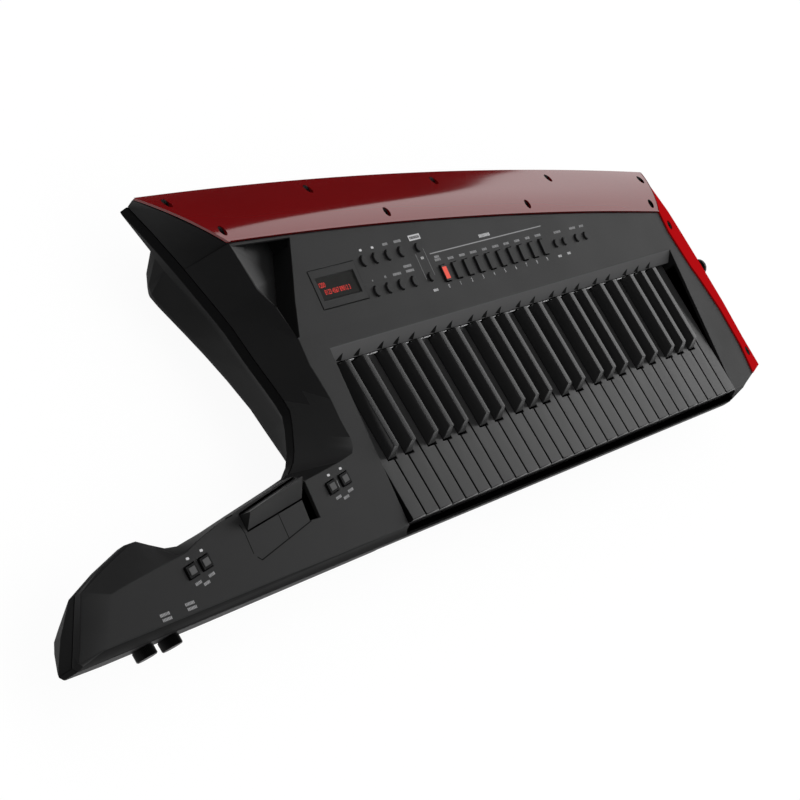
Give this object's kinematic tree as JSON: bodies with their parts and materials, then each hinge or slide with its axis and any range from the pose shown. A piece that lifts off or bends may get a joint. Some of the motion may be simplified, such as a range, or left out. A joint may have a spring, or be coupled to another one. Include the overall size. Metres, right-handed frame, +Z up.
{
  "type": "keytar",
  "caption": "Shoulder keyboard with hinged piano keys, a left-hand neck with a modulation bar and knobs, a button panel with a display, and a red blade.",
  "frame": {"origin": "centre of the bounding box in plan, on the base it lies on", "axes": "+X towards the high keys, +Y from the keys towards the blade, +Z up out of the keys"},
  "size_m": [1.2448, 0.3082, 0.0932],
  "materials": {
    "case": "satin black moulding",
    "shell": "fine-textured black moulding",
    "blade": "deep red gloss lacquer",
    "chassis": "moulded grey",
    "display": "smoked window",
    "button": "satin black silicone",
    "knob": "knurled black",
    "natural": "satin dark grey key top",
    "sharp": "gloss black key top"
  },
  "bodies": {
    "case": {"upper_case": "case", "lower_case": "shell", "blade_panel": "blade", "end_blade": "blade", "key_chassis": "chassis", "display_window": "display"},
    "panel_keypad": {"panel_keypad": "button"},
    "neck_keypad": {"neck_keypad": "button"},
    "modulation_bar": {"modulation_bar": "case"},
    "volume_knob": {"volume_knob": "knob"},
    "assign_knob": {"assign_knob": "knob"},
    "natural_key_01": {"natural_key_01": "natural"},
    "natural_key_02": {"natural_key_02": "natural"},
    "natural_key_03": {"natural_key_03": "natural"},
    "natural_key_04": {"natural_key_04": "natural"},
    "natural_key_05": {"natural_key_05": "natural"},
    "natural_key_06": {"natural_key_06": "natural"},
    "natural_key_07": {"natural_key_07": "natural"},
    "natural_key_08": {"natural_key_08": "natural"},
    "natural_key_09": {"natural_key_09": "natural"},
    "natural_key_10": {"natural_key_10": "natural"},
    "natural_key_11": {"natural_key_11": "natural"},
    "natural_key_12": {"natural_key_12": "natural"},
    "natural_key_13": {"natural_key_13": "natural"},
    "natural_key_14": {"natural_key_14": "natural"},
    "natural_key_15": {"natural_key_15": "natural"},
    "natural_key_16": {"natural_key_16": "natural"},
    "natural_key_17": {"natural_key_17": "natural"},
    "natural_key_18": {"natural_key_18": "natural"},
    "natural_key_19": {"natural_key_19": "natural"},
    "natural_key_20": {"natural_key_20": "natural"},
    "natural_key_21": {"natural_key_21": "natural"},
    "natural_key_22": {"natural_key_22": "natural"},
    "natural_key_23": {"natural_key_23": "natural"},
    "natural_key_24": {"natural_key_24": "natural"},
    "natural_key_25": {"natural_key_25": "natural"},
    "natural_key_26": {"natural_key_26": "natural"},
    "natural_key_27": {"natural_key_27": "natural"},
    "natural_key_28": {"natural_key_28": "natural"},
    "natural_key_29": {"natural_key_29": "natural"},
    "sharp_key_01": {"sharp_key_01": "sharp"},
    "sharp_key_02": {"sharp_key_02": "sharp"},
    "sharp_key_03": {"sharp_key_03": "sharp"},
    "sharp_key_04": {"sharp_key_04": "sharp"},
    "sharp_key_05": {"sharp_key_05": "sharp"},
    "sharp_key_06": {"sharp_key_06": "sharp"},
    "sharp_key_07": {"sharp_key_07": "sharp"},
    "sharp_key_08": {"sharp_key_08": "sharp"},
    "sharp_key_09": {"sharp_key_09": "sharp"},
    "sharp_key_10": {"sharp_key_10": "sharp"},
    "sharp_key_11": {"sharp_key_11": "sharp"},
    "sharp_key_12": {"sharp_key_12": "sharp"},
    "sharp_key_13": {"sharp_key_13": "sharp"},
    "sharp_key_14": {"sharp_key_14": "sharp"},
    "sharp_key_15": {"sharp_key_15": "sharp"},
    "sharp_key_16": {"sharp_key_16": "sharp"},
    "sharp_key_17": {"sharp_key_17": "sharp"},
    "sharp_key_18": {"sharp_key_18": "sharp"},
    "sharp_key_19": {"sharp_key_19": "sharp"},
    "sharp_key_20": {"sharp_key_20": "sharp"}
  },
  "joints": [
    {"name": "natural_key_01_hinge", "type": "hinge", "parent": "case", "child": "natural_key_01", "pos_m": [-0.13538, 0.02886, 0.0595], "axis": [1, 0, 0], "range_deg": [0, 3.4], "stiffness_Nm_per_rad": 0.6, "springref_deg": -8.02},
    {"name": "natural_key_02_hinge", "type": "hinge", "parent": "case", "child": "natural_key_02", "pos_m": [-0.11188, 0.02886, 0.0595], "axis": [1, 0, 0], "range_deg": [0, 3.4], "stiffness_Nm_per_rad": 0.6, "springref_deg": -8.02},
    {"name": "natural_key_03_hinge", "type": "hinge", "parent": "case", "child": "natural_key_03", "pos_m": [-0.08838, 0.02886, 0.0595], "axis": [1, 0, 0], "range_deg": [0, 3.4], "stiffness_Nm_per_rad": 0.6, "springref_deg": -8.02},
    {"name": "natural_key_04_hinge", "type": "hinge", "parent": "case", "child": "natural_key_04", "pos_m": [-0.06488, 0.02886, 0.0595], "axis": [1, 0, 0], "range_deg": [0, 3.4], "stiffness_Nm_per_rad": 0.6, "springref_deg": -8.02},
    {"name": "natural_key_05_hinge", "type": "hinge", "parent": "case", "child": "natural_key_05", "pos_m": [-0.04138, 0.02886, 0.0595], "axis": [1, 0, 0], "range_deg": [0, 3.4], "stiffness_Nm_per_rad": 0.6, "springref_deg": -8.02},
    {"name": "natural_key_06_hinge", "type": "hinge", "parent": "case", "child": "natural_key_06", "pos_m": [-0.01788, 0.02886, 0.0595], "axis": [1, 0, 0], "range_deg": [0, 3.4], "stiffness_Nm_per_rad": 0.6, "springref_deg": -8.02},
    {"name": "natural_key_07_hinge", "type": "hinge", "parent": "case", "child": "natural_key_07", "pos_m": [0.00562, 0.02886, 0.0595], "axis": [1, 0, 0], "range_deg": [0, 3.4], "stiffness_Nm_per_rad": 0.6, "springref_deg": -8.02},
    {"name": "natural_key_08_hinge", "type": "hinge", "parent": "case", "child": "natural_key_08", "pos_m": [0.02912, 0.02886, 0.0595], "axis": [1, 0, 0], "range_deg": [0, 3.4], "stiffness_Nm_per_rad": 0.6, "springref_deg": -8.02},
    {"name": "natural_key_09_hinge", "type": "hinge", "parent": "case", "child": "natural_key_09", "pos_m": [0.05262, 0.02886, 0.0595], "axis": [1, 0, 0], "range_deg": [0, 3.4], "stiffness_Nm_per_rad": 0.6, "springref_deg": -8.02},
    {"name": "natural_key_10_hinge", "type": "hinge", "parent": "case", "child": "natural_key_10", "pos_m": [0.07612, 0.02886, 0.0595], "axis": [1, 0, 0], "range_deg": [0, 3.4], "stiffness_Nm_per_rad": 0.6, "springref_deg": -8.02},
    {"name": "natural_key_11_hinge", "type": "hinge", "parent": "case", "child": "natural_key_11", "pos_m": [0.09962, 0.02886, 0.0595], "axis": [1, 0, 0], "range_deg": [0, 3.4], "stiffness_Nm_per_rad": 0.6, "springref_deg": -8.02},
    {"name": "natural_key_12_hinge", "type": "hinge", "parent": "case", "child": "natural_key_12", "pos_m": [0.12312, 0.02886, 0.0595], "axis": [1, 0, 0], "range_deg": [0, 3.4], "stiffness_Nm_per_rad": 0.6, "springref_deg": -8.02},
    {"name": "natural_key_13_hinge", "type": "hinge", "parent": "case", "child": "natural_key_13", "pos_m": [0.14662, 0.02886, 0.0595], "axis": [1, 0, 0], "range_deg": [0, 3.4], "stiffness_Nm_per_rad": 0.6, "springref_deg": -8.02},
    {"name": "natural_key_14_hinge", "type": "hinge", "parent": "case", "child": "natural_key_14", "pos_m": [0.17012, 0.02886, 0.0595], "axis": [1, 0, 0], "range_deg": [0, 3.4], "stiffness_Nm_per_rad": 0.6, "springref_deg": -8.02},
    {"name": "natural_key_15_hinge", "type": "hinge", "parent": "case", "child": "natural_key_15", "pos_m": [0.19362, 0.02886, 0.0595], "axis": [1, 0, 0], "range_deg": [0, 3.4], "stiffness_Nm_per_rad": 0.6, "springref_deg": -8.02},
    {"name": "natural_key_16_hinge", "type": "hinge", "parent": "case", "child": "natural_key_16", "pos_m": [0.21712, 0.02886, 0.0595], "axis": [1, 0, 0], "range_deg": [0, 3.4], "stiffness_Nm_per_rad": 0.6, "springref_deg": -8.02},
    {"name": "natural_key_17_hinge", "type": "hinge", "parent": "case", "child": "natural_key_17", "pos_m": [0.24062, 0.02886, 0.0595], "axis": [1, 0, 0], "range_deg": [0, 3.4], "stiffness_Nm_per_rad": 0.6, "springref_deg": -8.02},
    {"name": "natural_key_18_hinge", "type": "hinge", "parent": "case", "child": "natural_key_18", "pos_m": [0.26412, 0.02886, 0.0595], "axis": [1, 0, 0], "range_deg": [0, 3.4], "stiffness_Nm_per_rad": 0.6, "springref_deg": -8.02},
    {"name": "natural_key_19_hinge", "type": "hinge", "parent": "case", "child": "natural_key_19", "pos_m": [0.28762, 0.02886, 0.0595], "axis": [1, 0, 0], "range_deg": [0, 3.4], "stiffness_Nm_per_rad": 0.6, "springref_deg": -8.02},
    {"name": "natural_key_20_hinge", "type": "hinge", "parent": "case", "child": "natural_key_20", "pos_m": [0.31112, 0.02886, 0.0595], "axis": [1, 0, 0], "range_deg": [0, 3.4], "stiffness_Nm_per_rad": 0.6, "springref_deg": -8.02},
    {"name": "natural_key_21_hinge", "type": "hinge", "parent": "case", "child": "natural_key_21", "pos_m": [0.33462, 0.02886, 0.0595], "axis": [1, 0, 0], "range_deg": [0, 3.4], "stiffness_Nm_per_rad": 0.6, "springref_deg": -8.02},
    {"name": "natural_key_22_hinge", "type": "hinge", "parent": "case", "child": "natural_key_22", "pos_m": [0.35812, 0.02886, 0.0595], "axis": [1, 0, 0], "range_deg": [0, 3.4], "stiffness_Nm_per_rad": 0.6, "springref_deg": -8.02},
    {"name": "natural_key_23_hinge", "type": "hinge", "parent": "case", "child": "natural_key_23", "pos_m": [0.38162, 0.02886, 0.0595], "axis": [1, 0, 0], "range_deg": [0, 3.4], "stiffness_Nm_per_rad": 0.6, "springref_deg": -8.02},
    {"name": "natural_key_24_hinge", "type": "hinge", "parent": "case", "child": "natural_key_24", "pos_m": [0.40512, 0.02886, 0.0595], "axis": [1, 0, 0], "range_deg": [0, 3.4], "stiffness_Nm_per_rad": 0.6, "springref_deg": -8.02},
    {"name": "natural_key_25_hinge", "type": "hinge", "parent": "case", "child": "natural_key_25", "pos_m": [0.42862, 0.02886, 0.0595], "axis": [1, 0, 0], "range_deg": [0, 3.4], "stiffness_Nm_per_rad": 0.6, "springref_deg": -8.02},
    {"name": "natural_key_26_hinge", "type": "hinge", "parent": "case", "child": "natural_key_26", "pos_m": [0.45212, 0.02886, 0.0595], "axis": [1, 0, 0], "range_deg": [0, 3.4], "stiffness_Nm_per_rad": 0.6, "springref_deg": -8.02},
    {"name": "natural_key_27_hinge", "type": "hinge", "parent": "case", "child": "natural_key_27", "pos_m": [0.47562, 0.02886, 0.0595], "axis": [1, 0, 0], "range_deg": [0, 3.4], "stiffness_Nm_per_rad": 0.6, "springref_deg": -8.02},
    {"name": "natural_key_28_hinge", "type": "hinge", "parent": "case", "child": "natural_key_28", "pos_m": [0.49912, 0.02886, 0.0595], "axis": [1, 0, 0], "range_deg": [0, 3.4], "stiffness_Nm_per_rad": 0.6, "springref_deg": -8.02},
    {"name": "natural_key_29_hinge", "type": "hinge", "parent": "case", "child": "natural_key_29", "pos_m": [0.52262, 0.02886, 0.0595], "axis": [1, 0, 0], "range_deg": [0, 3.4], "stiffness_Nm_per_rad": 0.6, "springref_deg": -8.02},
    {"name": "sharp_key_01_hinge", "type": "hinge", "parent": "case", "child": "sharp_key_01", "pos_m": [-0.12663, 0.02886, 0.0595], "axis": [1, 0, 0], "range_deg": [0, 3.4], "stiffness_Nm_per_rad": 0.6, "springref_deg": -8.02},
    {"name": "sharp_key_02_hinge", "type": "hinge", "parent": "case", "child": "sharp_key_02", "pos_m": [-0.09712, 0.02886, 0.0595], "axis": [1, 0, 0], "range_deg": [0, 3.4], "stiffness_Nm_per_rad": 0.6, "springref_deg": -8.02},
    {"name": "sharp_key_03_hinge", "type": "hinge", "parent": "case", "child": "sharp_key_03", "pos_m": [-0.05713, 0.02886, 0.0595], "axis": [1, 0, 0], "range_deg": [0, 3.4], "stiffness_Nm_per_rad": 0.6, "springref_deg": -8.02},
    {"name": "sharp_key_04_hinge", "type": "hinge", "parent": "case", "child": "sharp_key_04", "pos_m": [-0.02962, 0.02886, 0.0595], "axis": [1, 0, 0], "range_deg": [0, 3.4], "stiffness_Nm_per_rad": 0.6, "springref_deg": -8.02},
    {"name": "sharp_key_05_hinge", "type": "hinge", "parent": "case", "child": "sharp_key_05", "pos_m": [-0.00212, 0.02886, 0.0595], "axis": [1, 0, 0], "range_deg": [0, 3.4], "stiffness_Nm_per_rad": 0.6, "springref_deg": -8.02},
    {"name": "sharp_key_06_hinge", "type": "hinge", "parent": "case", "child": "sharp_key_06", "pos_m": [0.03787, 0.02886, 0.0595], "axis": [1, 0, 0], "range_deg": [0, 3.4], "stiffness_Nm_per_rad": 0.6, "springref_deg": -8.02},
    {"name": "sharp_key_07_hinge", "type": "hinge", "parent": "case", "child": "sharp_key_07", "pos_m": [0.06738, 0.02886, 0.0595], "axis": [1, 0, 0], "range_deg": [0, 3.4], "stiffness_Nm_per_rad": 0.6, "springref_deg": -8.02},
    {"name": "sharp_key_08_hinge", "type": "hinge", "parent": "case", "child": "sharp_key_08", "pos_m": [0.10737, 0.02886, 0.0595], "axis": [1, 0, 0], "range_deg": [0, 3.4], "stiffness_Nm_per_rad": 0.6, "springref_deg": -8.02},
    {"name": "sharp_key_09_hinge", "type": "hinge", "parent": "case", "child": "sharp_key_09", "pos_m": [0.13488, 0.02886, 0.0595], "axis": [1, 0, 0], "range_deg": [0, 3.4], "stiffness_Nm_per_rad": 0.6, "springref_deg": -8.02},
    {"name": "sharp_key_10_hinge", "type": "hinge", "parent": "case", "child": "sharp_key_10", "pos_m": [0.16238, 0.02886, 0.0595], "axis": [1, 0, 0], "range_deg": [0, 3.4], "stiffness_Nm_per_rad": 0.6, "springref_deg": -8.02},
    {"name": "sharp_key_11_hinge", "type": "hinge", "parent": "case", "child": "sharp_key_11", "pos_m": [0.20237, 0.02886, 0.0595], "axis": [1, 0, 0], "range_deg": [0, 3.4], "stiffness_Nm_per_rad": 0.6, "springref_deg": -8.02},
    {"name": "sharp_key_12_hinge", "type": "hinge", "parent": "case", "child": "sharp_key_12", "pos_m": [0.23188, 0.02886, 0.0595], "axis": [1, 0, 0], "range_deg": [0, 3.4], "stiffness_Nm_per_rad": 0.6, "springref_deg": -8.02},
    {"name": "sharp_key_13_hinge", "type": "hinge", "parent": "case", "child": "sharp_key_13", "pos_m": [0.27187, 0.02886, 0.0595], "axis": [1, 0, 0], "range_deg": [0, 3.4], "stiffness_Nm_per_rad": 0.6, "springref_deg": -8.02},
    {"name": "sharp_key_14_hinge", "type": "hinge", "parent": "case", "child": "sharp_key_14", "pos_m": [0.29938, 0.02886, 0.0595], "axis": [1, 0, 0], "range_deg": [0, 3.4], "stiffness_Nm_per_rad": 0.6, "springref_deg": -8.02},
    {"name": "sharp_key_15_hinge", "type": "hinge", "parent": "case", "child": "sharp_key_15", "pos_m": [0.32688, 0.02886, 0.0595], "axis": [1, 0, 0], "range_deg": [0, 3.4], "stiffness_Nm_per_rad": 0.6, "springref_deg": -8.02},
    {"name": "sharp_key_16_hinge", "type": "hinge", "parent": "case", "child": "sharp_key_16", "pos_m": [0.36687, 0.02886, 0.0595], "axis": [1, 0, 0], "range_deg": [0, 3.4], "stiffness_Nm_per_rad": 0.6, "springref_deg": -8.02},
    {"name": "sharp_key_17_hinge", "type": "hinge", "parent": "case", "child": "sharp_key_17", "pos_m": [0.39638, 0.02886, 0.0595], "axis": [1, 0, 0], "range_deg": [0, 3.4], "stiffness_Nm_per_rad": 0.6, "springref_deg": -8.02},
    {"name": "sharp_key_18_hinge", "type": "hinge", "parent": "case", "child": "sharp_key_18", "pos_m": [0.43637, 0.02886, 0.0595], "axis": [1, 0, 0], "range_deg": [0, 3.4], "stiffness_Nm_per_rad": 0.6, "springref_deg": -8.02},
    {"name": "sharp_key_19_hinge", "type": "hinge", "parent": "case", "child": "sharp_key_19", "pos_m": [0.46388, 0.02886, 0.0595], "axis": [1, 0, 0], "range_deg": [0, 3.4], "stiffness_Nm_per_rad": 0.6, "springref_deg": -8.02},
    {"name": "sharp_key_20_hinge", "type": "hinge", "parent": "case", "child": "sharp_key_20", "pos_m": [0.49138, 0.02886, 0.0595], "axis": [1, 0, 0], "range_deg": [0, 3.4], "stiffness_Nm_per_rad": 0.6, "springref_deg": -8.02},
    {"name": "panel_keypad_press", "type": "slide", "parent": "case", "child": "panel_keypad", "axis": [0, 0, -1], "range_m": [0, 0.0008], "stiffness_N_per_m": 500, "springref_m": -0.002},
    {"name": "neck_keypad_press", "type": "slide", "parent": "case", "child": "neck_keypad", "axis": [0, 0, -1], "range_m": [0, 0.0008], "stiffness_N_per_m": 500, "springref_m": -0.002},
    {"name": "modulation_bar_hinge", "type": "hinge", "parent": "case", "child": "modulation_bar", "pos_m": [-0.32492, -0.09451, 0.06464], "axis": [-0.996, -0.0892, -0.0104], "range_deg": [0, 9], "stiffness_Nm_per_rad": 0.8, "springref_deg": -5.73},
    {"name": "volume_knob_turn", "type": "hinge", "parent": "case", "child": "volume_knob", "pos_m": [-0.49416, -0.1442, 0.0485], "axis": [0, 1, 0], "range_deg": [-150, 150]},
    {"name": "assign_knob_turn", "type": "hinge", "parent": "case", "child": "assign_knob", "pos_m": [-0.52713, -0.1442, 0.0485], "axis": [0, 1, 0], "range_deg": [-150, 150]}
  ]
}
